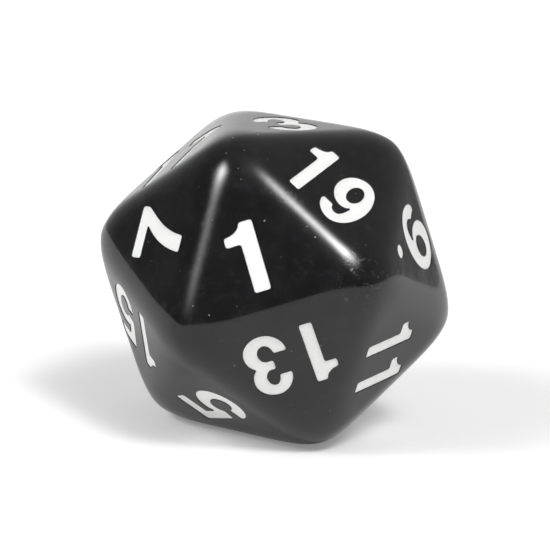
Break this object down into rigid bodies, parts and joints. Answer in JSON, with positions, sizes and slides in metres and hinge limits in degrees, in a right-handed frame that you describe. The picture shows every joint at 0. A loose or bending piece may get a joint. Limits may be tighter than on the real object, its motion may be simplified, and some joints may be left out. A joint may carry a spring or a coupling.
{
  "type": "polyhedral die",
  "caption": "Black regular polyhedral gaming die with flat triangular faces, tumbled edges and a white painted numeral sunk into each face.",
  "frame": {"origin": "centre of the die, the point that is the same distance from all of its faces", "axes": "+Z out of the face marked 3, with the die resting on the face marked 18; +Y from the centre of that top face to the corner its 3 points to; +X completes a right-handed frame"},
  "size_m": [0.021, 0.023, 0.02],
  "materials": {
    "black_plastic": "tumbled gloss, opaque black, with fine handling scuffs",
    "white_paint": "satin white enamel wiped into the engraving"
  },
  "bodies": {
    "root": {"die_body": "black_plastic", "numeral_01": "white_paint", "numeral_02": "white_paint", "numeral_03": "white_paint", "numeral_04": "white_paint", "numeral_05": "white_paint", "numeral_06": "white_paint", "numeral_07": "white_paint", "numeral_08": "white_paint", "numeral_09": "white_paint", "numeral_10": "white_paint", "numeral_11": "white_paint", "numeral_12": "white_paint", "numeral_13": "white_paint", "numeral_14": "white_paint", "numeral_15": "white_paint", "numeral_16": "white_paint", "numeral_17": "white_paint", "numeral_18": "white_paint", "numeral_19": "white_paint", "numeral_20": "white_paint"}
  },
  "joints": []
}
